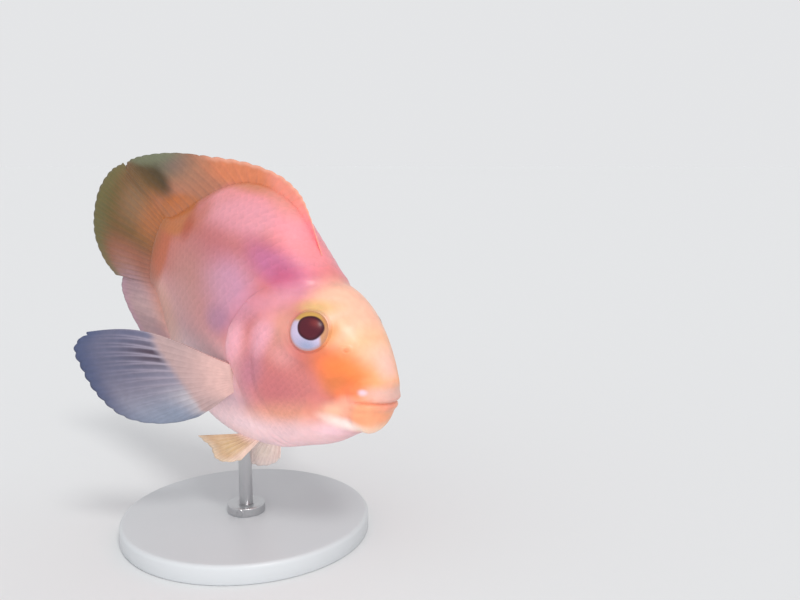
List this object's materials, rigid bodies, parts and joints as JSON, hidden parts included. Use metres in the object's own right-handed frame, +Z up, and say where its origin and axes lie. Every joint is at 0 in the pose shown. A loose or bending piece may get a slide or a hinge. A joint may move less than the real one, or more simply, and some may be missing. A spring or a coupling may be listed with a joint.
{
  "type": "blood parrot cichlid display model",
  "caption": "Life-size still model of a blood parrot cichlid swimming nose-down, held by a steel rod on a round grey base.",
  "frame": {"origin": "middle of the stand base's underside, straight below the rod", "axes": "+Z up, +X the way the fish heads in plan, so its right flank faces -Y"},
  "size_m": [0.1642, 0.1127, 0.1409],
  "materials": {
    "head_skin": "painted resin head skin, cream forehead and orange cheek, wet satin gloss",
    "cheek_skin": "painted resin gill cover skin, salmon pink, wet satin gloss",
    "flank_skin": "painted resin flank with thin overlapping scales, pink to beige, wet satin gloss",
    "tail_skin": "painted resin tail stalk with small scales, orange brown",
    "fin": "thin translucent ribbed fin membrane, smooth",
    "eye": "polished clear cornea over a maroon pupil and a silver and gold iris",
    "stand_base": "satin light grey cast acrylic",
    "stand_steel": "brushed stainless steel rod and collar"
  },
  "bodies": {
    "root": {"head": "head_skin", "lower_jaw": "head_skin", "gill_cover_left": "cheek_skin", "gill_cover_right": "cheek_skin", "trunk": "flank_skin", "tail_stalk": "tail_skin", "eye_left": "eye", "eye_right": "eye", "dorsal_fin": "fin", "anal_fin": "fin", "tail_fin": "fin", "pectoral_fin_left": "fin", "pectoral_fin_right": "fin", "pelvic_fin_left": "fin", "pelvic_fin_right": "fin", "stand_base": "stand_base", "stand_collar": "stand_steel", "stand_rod": "stand_steel"}
  },
  "joints": []
}
